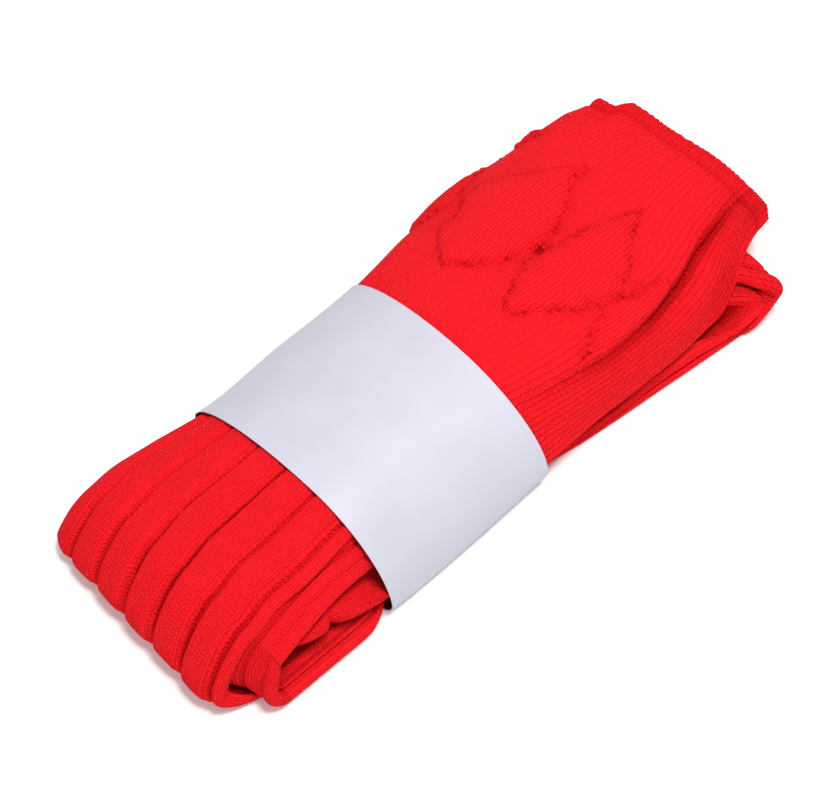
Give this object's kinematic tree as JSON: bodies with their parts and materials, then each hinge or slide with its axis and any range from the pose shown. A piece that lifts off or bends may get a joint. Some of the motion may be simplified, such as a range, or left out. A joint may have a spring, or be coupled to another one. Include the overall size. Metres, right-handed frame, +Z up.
{
  "type": "pair of kilt socks in a paper band",
  "caption": "Pair of long ribbed knit socks with leaf-patterned turn-over cuffs, laid together, folded in three and held by a plain paper band.",
  "frame": {"origin": "middle of the underside of the folded pair's bounding box, on the surface that it lies on", "axes": "+X along the bundle from the ribbed near fold to the open end of the cuff, +Y across it, +Z up"},
  "size_m": [0.3092, 0.1304, 0.0509],
  "materials": {
    "red_knit": "matte, slightly fuzzy wool knit",
    "tucked_red_knit": "matte, slightly fuzzy wool knit in the shade of the folds",
    "white_paper": "smooth uncoated card"
  },
  "bodies": {
    "root": {"sock_a_leg": "red_knit", "sock_a_cuff": "red_knit", "sock_b_leg": "red_knit", "sock_b_inner_ply": "tucked_red_knit", "sock_b_foot": "tucked_red_knit", "folded_layers": "tucked_red_knit", "cuff_layers": "tucked_red_knit", "paper_band": "white_paper"}
  },
  "joints": []
}
